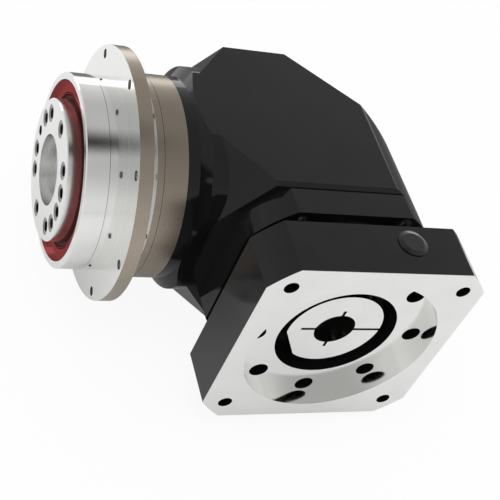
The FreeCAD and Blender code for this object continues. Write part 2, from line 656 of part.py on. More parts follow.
def front_ring():
    """Bright ring that carries the output seal, seated on the flange housing's spigot."""
    seal_back = FRONT_RING_FACE - SEAL_RECESS - SEAL_LENGTH
    return turned(OUTPUT, [(REGISTER_LENGTH, FRONT_SPIGOT_R), (REGISTER_LENGTH, REGISTER_R),
                           (FRONT_RING_FACE - FRONT_RING_EDGE, REGISTER_R),
                           (FRONT_RING_FACE, REGISTER_R - FRONT_RING_EDGE), (FRONT_RING_FACE, SEAL_SEAT_R),
                           (seal_back, SEAL_SEAT_R), (seal_back, BEARING_SEAT_R),
                           (FRONT_SPIGOT_END, BEARING_SEAT_R), (FRONT_SPIGOT_END, FRONT_SPIGOT_R)])


def output_seal():
    """Lip seal: a flat outer band, two fine grooves and a lip that runs on the disc."""
    front = FRONT_RING_FACE - SEAL_RECESS
    lip_r = DISC_R + SEAL_LIP_GAP
    reach = SEAL_SEAT_R - lip_r
    return turned(OUTPUT, [(front - SEAL_LENGTH * back, lip_r + reach * out) for back, out in SEAL_SECTION])


def case_ring():
    """Black ring between the ring gear and the bevel casing."""
    floor = RING_BACK - RING_SPIGOT_LENGTH
    end = CASE_RING_BACK - CASE_SPIGOT_LENGTH
    body = turned(OUTPUT, [(RING_BACK, RING_SPIGOT_R), (RING_BACK, BAND_R), (CASE_RING_BACK, BAND_R),
                           (CASE_RING_BACK, RING_SPIGOT_R), (end, RING_SPIGOT_R), (end, CASE_BORE_R),
                           (floor, CASE_BORE_R), (floor, RING_SPIGOT_R)])
    angles = even(CASE_SCREW_COUNT)
    head_r = CASE_SCREW_R * SCREW_HEAD_SHARE
    cuts = rods(OUTPUT, CASE_SCREW_SEAT, floor, head_r, CASE_SCREW_PITCH_R, angles)
    cuts += rods(OUTPUT, end, CASE_SCREW_SEAT, CASE_SCREW_R, CASE_SCREW_PITCH_R, angles)
    return body.cut(cuts)


def case_ring_screws():
    """Screws that pull the case ring onto the bevel casing."""
    screws = []
    for angle in even(CASE_SCREW_COUNT):
        base = place(OUTPUT, CASE_SCREW_SEAT, CASE_SCREW_PITCH_R, angle)
        screws.append(socket_screw(base, OUTPUT[1] * -1, CASE_SCREW_R, CASE_SCREW_LENGTH))
    return Part.makeCompound(screws)


def block_screw_places():
    """Corner places of the screws that hold the input housing, as points under their heads."""
    corners = [(1, 1), (1, -1), (-1, 1), (-1, -1)]
    return [V(INPUT_X + sx * BLOCK_SCREW_X, BLOCK_SCREW_SEAT, sz * BLOCK_SCREW_Z) for sx, sz in corners]


def casing_outside():
    """Casing form: a round flared nose that grows into a square body with cut corners and a sloped back."""
    nose_start = CASE_RING_BACK
    band_start = nose_start - NOSE_FLARE_LENGTH
    facet_x = band_start - NOSE_BAND_LENGTH
    facet_y = math.sqrt(NOSE_R ** 2 - CASING_HALF ** 2)
    nose_end = facet_x - FACET_RUN * (NOSE_R * math.sqrt(2) - facet_y - CASING_HALF)
    nose = turned(OUTPUT, [(nose_start, 0), (nose_start, BAND_R), (band_start, NOSE_R),
                           (nose_end, NOSE_R), (nose_end, 0)])
    nose = nose.common(box((nose_end, nose_start), (-FAR, LEDGE_Y), (-CASING_HALF, CASING_HALF)))
    rear = INPUT_X - CASING_HALF
    body = box((rear, facet_x), (-CASING_TOP, LEDGE_Y), (-CASING_HALF, CASING_HALF))
    cuts = []
    for sy in (1, -1):
        for sz in (1, -1):
            normal = V(1, FACET_RUN * sy, FACET_RUN * sz)
            cuts.append(beyond(V(facet_x, facet_y * sy, CASING_HALF * sz), normal))
    cuts.append(beyond(V(INPUT_X + SLOPE_START, -CASING_TOP, 0), V(-1, -1, 0)))
    for sz in (1, -1):
        cuts.append(beyond(V(INPUT_X, LEDGE_Y - LEDGE_CHAMFER, CASING_HALF * sz), V(0, 1, sz)))
    body = body.cut(cuts)
    turned_back = rod(INPUT, -CASING_TOP, LEDGE_Y, CASING_CORNER_R)
    front_half = box((INPUT_X, 0), (-CASING_TOP, LEDGE_Y), (-CASING_HALF, CASING_HALF))
    body = body.common(joined([turned_back, front_half]))
    return joined([nose, body])


def bevel_housing():
    """Black casing, bored from the front for the sun bearings and from the motor side for the input."""
    wheel_room = BEVEL_TIP_R + CHAMBER_GAP
    wheel_room_end = WHEEL_NOSE - WHEEL_NUT_LENGTH - CHAMBER_END_GAP
    spigot_floor = CASE_RING_BACK - CASE_SPIGOT_LENGTH
    lip_r = SUN_BEARING_R - SUN_LIP
    cuts = [rod(OUTPUT, spigot_floor, CASE_RING_BACK, RING_SPIGOT_R),
            rod(OUTPUT, CHAMBER_FRONT, spigot_floor, CASE_BORE_R),
            rod(OUTPUT, SUN_BEARING_FRONT, CHAMBER_FRONT, lip_r),
            rod(OUTPUT, SUN_BEARING_BACK - CIRCLIP_LENGTH, SUN_BEARING_FRONT, SUN_BEARING_R),
            sleeve(OUTPUT, SUN_BEARING_BACK - CIRCLIP_LENGTH, SUN_BEARING_BACK, lip_r,
                   SUN_BEARING_R + CIRCLIP_GROOVE),
            rod(OUTPUT, wheel_room_end, SUN_BEARING_BACK - CIRCLIP_LENGTH, wheel_room),
            rod(INPUT, PINION_NOSE - CHAMBER_END_GAP, SPIGOT_START, wheel_room),
            rod(INPUT, SPIGOT_START, LEDGE_Y, SPIGOT_R)]
    cuts += rods(OUTPUT, CASE_SCREW_SEAT - CASE_SCREW_LENGTH, CASE_RING_BACK, CASE_SCREW_R,
                 CASE_SCREW_PITCH_R, even(CASE_SCREW_COUNT))
    for base in block_screw_places():
        cuts.append(Part.makeCylinder(BLOCK_SCREW_R, BLOCK_SCREW_LENGTH, base, V(0, -1, 0)))
    return casing_outside().cut(cuts)


def sun_shaft():
    """Sun gear, bearing seats, keyed wheel seat and thread in one piece."""
    root_r = SUN_PITCH_R - MODULE * (1 + ROOT_CLEARANCE)
    face = spur_outline(place(OUTPUT, SUN_TEETH_BACK), SUN_TEETH, root_r, SUN_TIP_R, -TOOTH_THINNING)
    teeth = face.extrude(OUTPUT[1] * (SUN_FRONT - SUN_TEETH_BACK))
    shoulder_start = SUN_BEARING_FRONT + SUN_SHOULDER_LENGTH
    thread_end = WHEEL_NOSE - WHEEL_NUT_LENGTH
    shaft = turned(OUTPUT, [(SUN_FRONT, 0), (SUN_FRONT, SUN_NECK_R), (shoulder_start, SUN_NECK_R),
                            (shoulder_start, SUN_SEAT_R + SUN_SHOULDER_HEIGHT),
                            (SUN_BEARING_FRONT, SUN_SEAT_R + SUN_SHOULDER_HEIGHT),
                            (SUN_BEARING_FRONT, SUN_SEAT_R), (SUN_BEARING_BACK, SUN_SEAT_R),
                            (SUN_BEARING_BACK, WHEEL_BORE_R), (WHEEL_NOSE, WHEEL_BORE_R),
                            (WHEEL_NOSE, WHEEL_THREAD_R), (thread_end, WHEEL_THREAD_R), (thread_end, 0)])
    return joined([shaft, teeth]).cut(wheel_key())


def wheel_key():
    """Key that turns the bevel wheel with the sun shaft."""
    middle = (WHEEL_TEETH_BACK + WHEEL_NOSE) / 2
    half_length = (WHEEL_TEETH_BACK - WHEEL_NOSE) / 2 - WHEEL_KEY_INSET
    half = WHEEL_KEY / 2
    return box((middle - half_length, middle + half_length), (-half, half),
               (WHEEL_BORE_R - half, WHEEL_BORE_R + half))


def bevel_wheel():
    """Bevel wheel on the sun shaft."""
    hub = [(WHEEL_NOSE, WHEEL_BORE_R), (SUN_BEARING_BACK, WHEEL_BORE_R),
           (SUN_BEARING_BACK, WHEEL_BORE_R + BEVEL_RIM),
           (SUN_BEARING_BACK - CIRCLIP_LENGTH - WHEEL_BACK_GAP, BEVEL_PITCH_R - BEVEL_MODULE)]
    facing_pinion = -90.0
    return bevel_gear(OUTPUT, facing_pinion, hub).cut(wheel_key())


def pinion_shaft():
    """Bevel pinion, bearing seats and slotted collet in one piece."""
    shoulder_r = PINION_SEAT_R + PINION_SHOULDER_HEIGHT
    hub = [(PINION_NOSE, 0), (COLLET_FACE, 0), (COLLET_FACE, COLLET_R), (INPUT_SEAL_END, COLLET_R),
           (INPUT_SEAL_END, PINION_SEAL_R), (PINION_NUT_END, PINION_SEAL_R), (PINION_NUT_END, PINION_SEAT_R),
           (PINION_INNER_START, PINION_SEAT_R), (PINION_INNER_START, shoulder_r),
           (PINION_SHOULDER_START, shoulder_r)]
    facing_wheel = 90.0
    shaft = bevel_gear(INPUT, facing_wheel + 180.0 / BEVEL_TEETH, hub)
    slot_start = CLAMP_BACK - COLLET_SLOT
    half = COLLET_SLOT / 2
    cuts = [rod(INPUT, COLLET_FACE - MOTOR_SHAFT_DEPTH, COLLET_FACE, MOTOR_SHAFT_R),
            box((INPUT_X - COLLET_R, INPUT_X + COLLET_R), (slot_start, COLLET_FACE), (-half, half)),
            box((INPUT_X - half, INPUT_X + half), (slot_start, COLLET_FACE), (-COLLET_R, COLLET_R))]
    return shaft.cut(cuts)


def clamp_ring():
    """Ring that squeezes the collet: a slit, a relief across from it, a balance flat and a screw pocket."""
    ring = sleeve(INPUT, CLAMP_BACK, COLLET_FACE, COLLET_R, CLAMP_R)
    half = COLLET_SLOT / 2
    base = V(CLAMP_SCREW_X, CLAMP_MID, CLAMP_SCREW_SEAT)
    pocket_r = CLAMP_SCREW_R * SCREW_HEAD_SHARE + SCREW_HEAD_GAP / 2
    reach = CLAMP_SCREW_SEAT + CLAMP_SCREW_HALF
    relief = INPUT_X + COLLET_R + CLAMP_RELIEF
    cuts = [box((INPUT_X - CLAMP_R, relief), (CLAMP_BACK, COLLET_FACE), (-half, half)),
            beyond(place(INPUT, CLAMP_MID, CLAMP_FLAT, CLAMP_FLAT_ANGLE), radial(INPUT, CLAMP_FLAT_ANGLE)),
            Part.makeCylinder(pocket_r, CLAMP_R, base, V(0, 0, 1)),
            Part.makeCylinder(CLAMP_SCREW_R, reach, base, V(0, 0, -1))]
    return ring.cut(cuts)


def clamp_screw():
    """Screw across the slit of the clamp ring."""
    base = V(CLAMP_SCREW_X, CLAMP_MID, CLAMP_SCREW_SEAT)
    return socket_screw(base, V(0, 0, -1), CLAMP_SCREW_R, CLAMP_SCREW_SEAT + CLAMP_SCREW_HALF)


def input_housing():
    """Black block and neck, with a spigot in the casing and seats for the pinion bearings."""
    side = (INPUT_X - BLOCK_HALF, INPUT_X + BLOCK_HALF)
    block = box(side, (LEDGE_Y, BLOCK_END), (-BLOCK_HALF, BLOCK_HALF))
    block = block.common(rod(INPUT, LEDGE_Y, BLOCK_END, CASING_CORNER_R))
    tip = NECK_END + ADAPTER_SPIGOT_LENGTH
    round_part = turned(INPUT, [(SPIGOT_START, 0), (SPIGOT_START, SPIGOT_R), (LEDGE_Y, SPIGOT_R),
                                (LEDGE_Y, INPUT_NECK_R), (NECK_END, INPUT_NECK_R), (NECK_END, ADAPTER_BORE_R),
                                (tip, ADAPTER_BORE_R), (tip, 0)])
    rim_start = INPUT_SEAL_START - INPUT_SEAL_RIM_LENGTH
    cuts = [rod(INPUT, SPIGOT_START, BLOCK_END, PINION_BEARING_R),
            rod(INPUT, BLOCK_END, rim_start, INPUT_ROOM_R),
            rod(INPUT, rim_start, INPUT_SEAL_START, INPUT_SEAL_R - INPUT_SEAL_RIM),
            rod(INPUT, INPUT_SEAL_START, tip, INPUT_SEAL_R),
            sleeve(INPUT, PINION_INNER_START - CIRCLIP_LENGTH, PINION_INNER_START, COLLET_R,
                   PINION_BEARING_R + CIRCLIP_GROOVE),
            sleeve(INPUT, O_RING_PLACE - O_RING_R, O_RING_PLACE + O_RING_R, O_RING_FLOOR_R,
                   SPIGOT_R + O_RING_R)]
    cuts += rods(INPUT, NECK_END - ADAPTER_SCREW_REACH, NECK_END, ADAPTER_SCREW_R,
                 ADAPTER_SCREW_PITCH_R, even(ADAPTER_SCREW_COUNT, ADAPTER_SCREW_START))
    head_r = BLOCK_SCREW_R * SCREW_HEAD_SHARE + SCREW_HEAD_GAP
    for base in block_screw_places():
        cuts.append(Part.makeCylinder(BLOCK_SCREW_R, BLOCK_SCREW_LENGTH, base, V(0, -1, 0)))
        cuts.append(Part.makeCylinder(head_r, NECK_END - BLOCK_SCREW_SEAT, base, V(0, 1, 0)))
    return joined([block, round_part]).cut(cuts)


def input_o_ring():
    """O-ring in the groove of the input spigot, squeezed flat against the casing."""
    ring = Part.makeTorus(O_RING_FLOOR_R + O_RING_R, O_RING_R, place(INPUT, O_RING_PLACE), INPUT[1])
    return ring.common(rod(INPUT, O_RING_PLACE - O_RING_R, O_RING_PLACE + O_RING_R, SPIGOT_R))


def input_housing_screws():
    """Socket screws that hold the input housing to the casing, sunk in its block."""
    down = V(0, -1, 0)
    screws = [socket_screw(base, down, BLOCK_SCREW_R, BLOCK_SCREW_LENGTH) for base in block_screw_places()]
    return Part.makeCompound(screws)


def circlip(axis, start, seat_r):
    """Open retaining ring in a bore groove."""
    ring = sleeve(axis, start, start + CIRCLIP_LENGTH, seat_r - CIRCLIP_HEIGHT, seat_r + CIRCLIP_GROOVE)
    half = CIRCLIP_OPENING / 2
    corner = place(axis, start + CIRCLIP_LENGTH / 2, seat_r, 180.0) - V(half, half, half)
    return ring.cut(Part.makeBox(CIRCLIP_OPENING, CIRCLIP_OPENING, CIRCLIP_OPENING, corner))


def input_seal():
    """Lip seal on the input shaft."""
    lip_r = PINION_SEAL_R + SEAL_LIP_GAP
    mid_r = (lip_r + INPUT_SEAL_R) / 2
    back = INPUT_SEAL_START
    front = INPUT_SEAL_END
    third = INPUT_SEAL_LENGTH / 3
    return turned(INPUT, [(back, mid_r), (back, INPUT_SEAL_R), (front, INPUT_SEAL_R),
                          (front, lip_r + INPUT_SEAL_BEVEL), (front - third, lip_r),
                          (front - 2 * third, lip_r), (front - third, mid_r)])


def adapter_plate():
    """Square motor adapter with turned corners, pilot recess and sunk screw holes."""
    side = (INPUT_X - ADAPTER_HALF, INPUT_X + ADAPTER_HALF)
    plate = box(side, (NECK_END, MOTOR_FACE), (-ADAPTER_HALF, ADAPTER_HALF))
    plate = plate.common(rod(INPUT, NECK_END, MOTOR_FACE, ADAPTER_CORNER_R))
    head_r = ADAPTER_SCREW_R * SCREW_HEAD_SHARE + SCREW_HEAD_GAP
    angles = even(ADAPTER_SCREW_COUNT, ADAPTER_SCREW_START)
    cuts = [rod(INPUT, NECK_END, PILOT_FLOOR, ADAPTER_BORE_R), rod(INPUT, PILOT_FLOOR, MOTOR_FACE, PILOT_R)]
    cuts += rods(INPUT, ADAPTER_SCREW_SEAT, MOTOR_FACE, head_r, ADAPTER_SCREW_PITCH_R, angles)
    cuts += rods(INPUT, NECK_END, ADAPTER_SCREW_SEAT, ADAPTER_SCREW_R, ADAPTER_SCREW_PITCH_R, angles)
    half = MOTOR_HOLE_PITCH_R / math.sqrt(2)
    for sx in (1, -1):
        for sz in (1, -1):
            mouth = V(INPUT_X + sx * half, MOTOR_FACE, sz * half)
            cuts.append(Part.makeCylinder(MOTOR_HOLE_R, MOTOR_HOLE_DEPTH, mouth, V(0, -1, 0)))
    access = V(CLAMP_SCREW_X, CLAMP_MID, ADAPTER_HALF)
    cuts.append(Part.makeCylinder(PLUG_HOLE_R, ADAPTER_HALF, access, V(0, 0, -1)))
    return plate.cut(cuts)


def adapter_screws():
    """Screws that hold the adapter to the neck, sunk in the pilot recess."""
    length = ADAPTER_SCREW_SEAT - NECK_END + ADAPTER_SCREW_REACH
    screws = []
    for angle in even(ADAPTER_SCREW_COUNT, ADAPTER_SCREW_START):
        base = place(INPUT, ADAPTER_SCREW_SEAT, ADAPTER_SCREW_PITCH_R, angle)
        screws.append(socket_screw(base, V(0, -1, 0), ADAPTER_SCREW_R, length))
    return Part.makeCompound(screws)


def access_plug():
    """Pressed plug with a low bevelled head over the clamp screw hole."""
    seat = V(CLAMP_SCREW_X, CLAMP_MID, ADAPTER_HALF)
    stem = Part.makeCylinder(PLUG_HOLE_R, PLUG_STEM, seat, V(0, 0, -1))
    head = Part.makeCylinder(PLUG_R, PLUG_HEAD, seat, V(0, 0, 1))
    rim = seat + V(0, 0, PLUG_HEAD)
    bevel = Part.makeCone(PLUG_R, PLUG_R - PLUG_BEVEL_RUN, PLUG_BEVEL_RISE, rim, V(0, 0, 1))
    return joined([stem, head, bevel])


def planet_pins():
    """Pins pressed through both sides of the carrier's pockets."""
    return Part.makeCompound(rods(OUTPUT, CARRIER_BACK, PIN_FRONT, PIN_R, CENTRE_R, PLANET_ANGLES))


def collar(axis, start, length, seat_r, wall):
    """Plain spacer or nut on a shaft seat."""
    return sleeve(axis, start, start + length, seat_r, seat_r + wall)


def bearings():
    """Cup, cone and rollers of the six tapered bearings by name."""
    output = (DISC_R, BEARING_SEAT_R, OUTPUT_ROLLERS)
    sun = (SUN_SEAT_R, SUN_BEARING_R, SUN_ROLLERS)
    pinion = (PINION_SEAT_R, PINION_BEARING_R, PINION_ROLLERS)
    places = {
        "output_front": (OUTPUT, FRONT_BEARING_FRONT, OUTPUT_SHOULDER_FRONT) + output,
        "output_rear": (OUTPUT, REAR_BEARING_BACK, OUTPUT_SHOULDER_BACK) + output,
        "sun_front": (OUTPUT, SUN_BEARING_MID, SUN_BEARING_FRONT) + sun,
        "sun_rear": (OUTPUT, SUN_REAR_FRONT, SUN_BEARING_BACK) + sun,
        "pinion_inner": (INPUT, PINION_INNER_END, PINION_INNER_START) + pinion,
        "pinion_outer": (INPUT, PINION_OUTER_MID, BLOCK_END) + pinion,
    }
    pieces = {}
    for name, sizes in places.items():
        cup, cone, rollers = tapered_bearing(*sizes)
        pieces[f"{name}_cup"] = cup
        pieces[f"{name}_cone"] = cone
        pieces[f"{name}_rollers"] = rollers
    return pieces


def model():
    """Every piece of the reducer by name."""
    pieces = {
        "flange_housing": flange_housing(),
        "front_ring": front_ring(),
        "output_seal": output_seal(),
        "output_carrier": output_carrier(),
        "bearing_spacer": collar(OUTPUT, OUTPUT_SHOULDER_BACK, OUTPUT_SHOULDER_LENGTH, DISC_R, SPACER_WALL),
        "bearing_nut": collar(OUTPUT, FRONT_BEARING_FRONT, NUT_LENGTH, DISC_R, NUT_WALL),
        "planet_pins": planet_pins(),
        "thrust_washers": thrust_washers(),
        "ring_gear": ring_gear(),
        "case_ring": case_ring(),
        "case_ring_screws": case_ring_screws(),
        "bevel_housing": bevel_housing(),
        "sun_shaft": sun_shaft(),
        "sun_spacer": collar(OUTPUT, SUN_REAR_FRONT, SUN_SPACER_LENGTH, SUN_SEAT_R, SPACER_WALL),
        "sun_circlip": circlip(OUTPUT, SUN_BEARING_BACK - CIRCLIP_LENGTH, SUN_BEARING_R),
        "bevel_wheel": bevel_wheel(),
        "wheel_key": wheel_key(),
        "wheel_nut": sleeve(OUTPUT, WHEEL_NOSE - WHEEL_NUT_LENGTH, WHEEL_NOSE, WHEEL_THREAD_R, WHEEL_NUT_R),
        "pinion_shaft": pinion_shaft(),
        "pinion_spacer": collar(INPUT, PINION_INNER_END, PINION_SPACER_LENGTH, PINION_SEAT_R, SPACER_WALL),
        "pinion_circlip": circlip(INPUT, PINION_INNER_START - CIRCLIP_LENGTH, PINION_BEARING_R),
        "pinion_nut": collar(INPUT, BLOCK_END, PINION_NUT_LENGTH, PINION_SEAT_R, PINION_NUT_WALL),
        "input_housing": input_housing(),
        "input_o_ring": input_o_ring(),
        "input_housing_screws": input_housing_screws(),
        "input_seal": input_seal(),
        "adapter_plate": adapter_plate(),
        "adapter_screws": adapter_screws(),
        "access_plug": access_plug(),
        "clamp_ring": clamp_ring(),
        "clamp_screw": clamp_screw(),
    }
    for k, degrees in enumerate(PLANET_ANGLES, start=1):
        pieces[f"planet_gear_{k}"] = planet_gear(degrees)
        pieces[f"planet_needles_{k}"] = planet_needles(degrees)
    pieces.update(bearings())
    return pieces


os.makedirs("parts", exist_ok=True)
for node, shape in model().items():
    shape.exportStep(f"parts/{node}.step")
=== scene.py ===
import bpy
import json
import math
from mathutils import Matrix, Vector


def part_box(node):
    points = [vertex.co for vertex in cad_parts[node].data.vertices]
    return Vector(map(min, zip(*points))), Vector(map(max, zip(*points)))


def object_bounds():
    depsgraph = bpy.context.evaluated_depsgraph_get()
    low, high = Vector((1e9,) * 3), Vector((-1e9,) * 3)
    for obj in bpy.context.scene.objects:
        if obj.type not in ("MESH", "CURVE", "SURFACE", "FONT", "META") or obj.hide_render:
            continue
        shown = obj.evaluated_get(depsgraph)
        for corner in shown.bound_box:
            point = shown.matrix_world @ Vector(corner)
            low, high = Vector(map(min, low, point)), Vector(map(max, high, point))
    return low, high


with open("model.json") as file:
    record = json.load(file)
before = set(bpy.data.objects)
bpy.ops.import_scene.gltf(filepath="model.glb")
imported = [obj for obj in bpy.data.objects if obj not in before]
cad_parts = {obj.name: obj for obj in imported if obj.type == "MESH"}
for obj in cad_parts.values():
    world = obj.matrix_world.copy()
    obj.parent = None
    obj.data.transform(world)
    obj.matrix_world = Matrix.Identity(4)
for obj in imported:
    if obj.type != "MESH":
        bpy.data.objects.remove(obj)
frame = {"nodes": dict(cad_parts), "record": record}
cad_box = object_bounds()
nodes = frame["nodes"]
scene = bpy.context.scene
scene.view_settings.view_transform = "Standard"

# Places and sizes in metres, from the frame's boxes where a box shows them
X, Y, Z = range(3)
flange_low, flange_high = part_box("flange_housing")
front_ring_low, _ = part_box("front_ring")
_, ring_gear_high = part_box("ring_gear")
_, carrier_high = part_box("output_carrier")
adapter_low, adapter_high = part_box("adapter_plate")

FLANGE_FACE = 0.0
FLANGE_R = flange_high[Z]
REGISTER_SEAM = front_ring_low[X]
BAND_SEAM = flange_low[X]
BAND_LENGTH = 0.0042
BAND_FRONT = BAND_SEAM + BAND_LENGTH
BAND_R = ring_gear_high[Z]
SEAM_HALF = 0.00016

OUTPUT_FACE = carrier_high[X]
OUTPUT_BORE_R = 0.02
DISC_R = 0.04
# Radius inside which the seal's lip is painted dark red as shade
SEAL_LIP_SHADE_R = 0.043
MOUTH_BELOW_FACE = 0.00028
MOUTH_HALF_DEPTH = 0.00025
MOUTH_PITCH_R = 0.0315
MOUTH_R = 0.0055

INPUT_X = (adapter_low[X] + adapter_high[X]) / 2
MOTOR_FACE = adapter_high[Y]
PILOT_DEPTH = 0.01
PILOT_FLOOR = MOTOR_FACE - PILOT_DEPTH
PILOT_R = 0.055

EDGE = 0.0001
FLOOR_Z = cad_box[0][Z]
FLOOR_GAP = 0.0005
FLOOR_SIZE = 12.0

# Colours, linear
WHITE = (1.0, 1.0, 1.0, 1.0)
STEEL = (0.82, 0.82, 0.81)
BORE_METAL = (0.94, 0.94, 0.93)
# Darker grey painted over each shallow thread mouth, a ring round each hole
MOUTH_METAL = (0.2, 0.2, 0.2)
MOTOR_METAL = (0.825, 0.825, 0.81)
FLANGE_METAL = (0.8, 0.8, 0.785)
FLANGE_FRONT = (0.88, 0.88, 0.865)
RIM_TINT = (0.37, 0.32, 0.26)
BAND_TINT = (0.31, 0.265, 0.215)
GEAR_STEEL = (0.5, 0.5, 0.51)
BEARING_STEEL = (0.7, 0.7, 0.71)
SCREW_STEEL = (0.32, 0.32, 0.322)
BRONZE = (0.5, 0.3, 0.12)
COAT = (0.006, 0.006, 0.0065)
SEAL_RED = (0.4, 0.155, 0.147)
# Painted shade: dark red over the seal's lip next to the disc, all round
LIP_PAINTED_SHADE = (0.055, 0.0085, 0.008)
RUBBER_BLACK = (0.006, 0.006, 0.006)
SEAM_GREY = (0.3, 0.29, 0.28)
SEAM_DARK = (0.08, 0.07, 0.06)
FLOOR_PALE = (0.95, 0.95, 0.95)
SEAMS = ((REGISTER_SEAM, SEAM_GREY), (BAND_SEAM, SEAM_DARK))

# How far a colour drifts over the surface, as shares of itself
STEEL_DRIFT = (0.95, 1.0)
MOTOR_DRIFT = (0.96, 1.0)
COAT_DRIFT = (1.0, 1.4)
RUBBER_DRIFT = (0.85, 1.0)

# Roughness, from the smoothest to the roughest spot
BRIGHT_ROUGH = (0.08, 0.13)
BORE_ROUGH = (0.2, 0.3)
DISC_SIDE_ROUGH = (0.16, 0.22)
FRONT_ROUGH = (0.21, 0.26)
TINTED_ROUGH = (0.24, 0.3)
MOTOR_ROUGH = (0.09, 0.15)
GEAR_ROUGH = (0.22, 0.32)
BEARING_ROUGH = (0.1, 0.18)
SCREW_ROUGH = (0.2, 0.3)
BRONZE_ROUGH = (0.25, 0.35)
COAT_ROUGH = (0.07, 0.12)
SEAL_ROUGH = (0.14, 0.2)
RUBBER_ROUGH = (0.15, 0.22)
MATT = 0.9

# Gloss of the coat, and how metal-like the seal reflects
COAT_GLOSS = 0.28
SEAL_SHEEN = 0.85

# Noise: scale, detail and roughness
MARK_NOISE = (2600.0, 3.0, 0.6)
STEEL_CLOUD = (60.0, 3.0, 0.5)
COAT_CLOUD = (40.0, 4.0, 0.5)
COAT_GRAIN = (2200.0, 2.0, 0.5)
RUBBER_CLOUD = (90.0, 4.0, 0.5)
RUBBER_GRAIN = (1800.0, 2.0, 0.5)
NOISE_LOW = 0.3
NOISE_HIGH = 0.7

# Bump: strength, and depth in metres
MARK_BUMP = (0.02, 0.0004)
FAINT_MARK_BUMP = (0.002, 0.0004)
COAT_BUMP = (0.01, 0.0002)
RUBBER_BUMP = (0.04, 0.0002)

# Camera, fitted to the photograph: places in metres, lens and sensor in millimetres
CAMERA_AIM = (-0.08412, 0.04839, -0.00593)
CAMERA_DISTANCE = 0.65
CAMERA_AZIMUTH = math.radians(55.285)
CAMERA_ELEVATION = math.radians(43.283)
CAMERA_ROLL = math.radians(27.628)
CAMERA_LENS = 81.07
CAMERA_SENSOR = 36.0
CAMERA_CLIP = (0.01, 50.0)

# Share of the floor that glows white, to the eye and in mirrors
FLOOR_BY_EYE = 0.92
FLOOR_BY_MIRROR = 0.2

# Brightness of the room to the eye, as light, and in mirrors at its foot and its top
ROOM_BY_EYE = 0.985
ROOM_LIGHT = 0.8
ROOM_SEEN = 0.84
ROOM_TOP = 0.54

# Where the room's foot ends and its top starts: 0 is the horizon, 1 is straight up
ROOM_FOOT_END = 0.15
ROOM_TOP_START = 0.8

# Lamps and cards: places, aims and sizes in metres
KEY_PLACE = (0.1, 0.15, 1.4)
KEY_AIM = (-0.08, 0.02, 0.0)
KEY_SIZE = (0.7, 0.7)
KEY_GLOW = 2.5
STRIP_PLACE = (-0.3, -1.1, 0.1)
STRIP_AIM = (-0.3, 0.0, 0.1)
STRIP_SIZE = (2.0, 0.34)
STRIP_GLOW = 1.15
OVERHEAD_PLACE = (0.02, 0.13, 0.65)
OVERHEAD_AIM = (0.02, 0.13, 0.0)
OVERHEAD_SIZE = (0.44, 0.46)
REAR_PLACE = (-0.69, -0.43, FLOOR_Z - FLOOR_GAP / 2)
REAR_AIM = (-0.69, -0.43, 1.0)
REAR_SIZE = (1.32, 0.75)
REAR_TONE = 0.18

# A card's half width before it is scaled, and how much a soft card covers along its middle
CARD_HALF = 0.5
CARD_MIDDLE = 0.95

# Sockets of Blender's Mix node, which has several of the same name
MIX_SHARE = 0
MIX_NUMBERS = (2, 3)
MIX_NUMBER_OUT = 0
MIX_COLOURS = (6, 7)
MIX_COLOUR_OUT = 2


def shade(colour, share=1.0):
    """Colour with alpha, scaled."""
    return tuple(c * share for c in colour) + (1.0,)


class Tree:
    """Short ways to add nodes to a material or a world."""

    def __init__(self, owner):
        owner.use_nodes = True
        self.tree = owner.node_tree

    def add(self, kind, *inputs, **settings):
        node = self.tree.nodes.new(kind)
        for key, value in settings.items():
            setattr(node, key, value)
        for socket, value in zip(node.inputs, inputs):
            self.feed(socket, value)
        return node

    def feed(self, socket, value):
        """Links a socket's input, or sets its number."""
        if isinstance(value, bpy.types.NodeSocket):
            self.tree.links.new(value, socket)
        else:
            socket.default_value = value

    def math(self, operation, *inputs):
        return self.add("ShaderNodeMath", *inputs, operation=operation).outputs[0]

    def ramp(self, value, start, end, first, last, shape="LINEAR"):
        """Maps start to first and end to last, with what lies between."""
        node = self.add("ShaderNodeMapRange", interpolation_type=shape)
        self.feed(node.inputs["Value"], value)
        self.feed(node.inputs["From Min"], start)
        self.feed(node.inputs["From Max"], end)
        self.feed(node.inputs["To Min"], first)
        self.feed(node.inputs["To Max"], last)
        return node.outputs[0]

    def mixer(self, kind, pair, share, first, second):
        """Mix node that goes from first to second as the share grows."""
        node = self.add("ShaderNodeMix", data_type=kind)
        for socket, value in zip((MIX_SHARE, *pair), (share, first, second)):
            self.feed(node.inputs[socket], value)
        return node

    def mix_value(self, share, first, second):
        return self.mixer("FLOAT", MIX_NUMBERS, share, first, second).outputs[MIX_NUMBER_OUT]

    def seen_share(self, by_eye, by_mirror):
        """How much of a glow counts for the eye, straight or through glass, and by way of a mirror."""
        rays = self.add("ShaderNodeLightPath").outputs
        straight = self.math("MAXIMUM", rays["Is Camera Ray"], rays["Is Transmission Ray"])
        return self.math("MAXIMUM", self.math("MULTIPLY", straight, by_eye),
                         self.math("MULTIPLY", rays["Is Glossy Ray"], by_mirror))


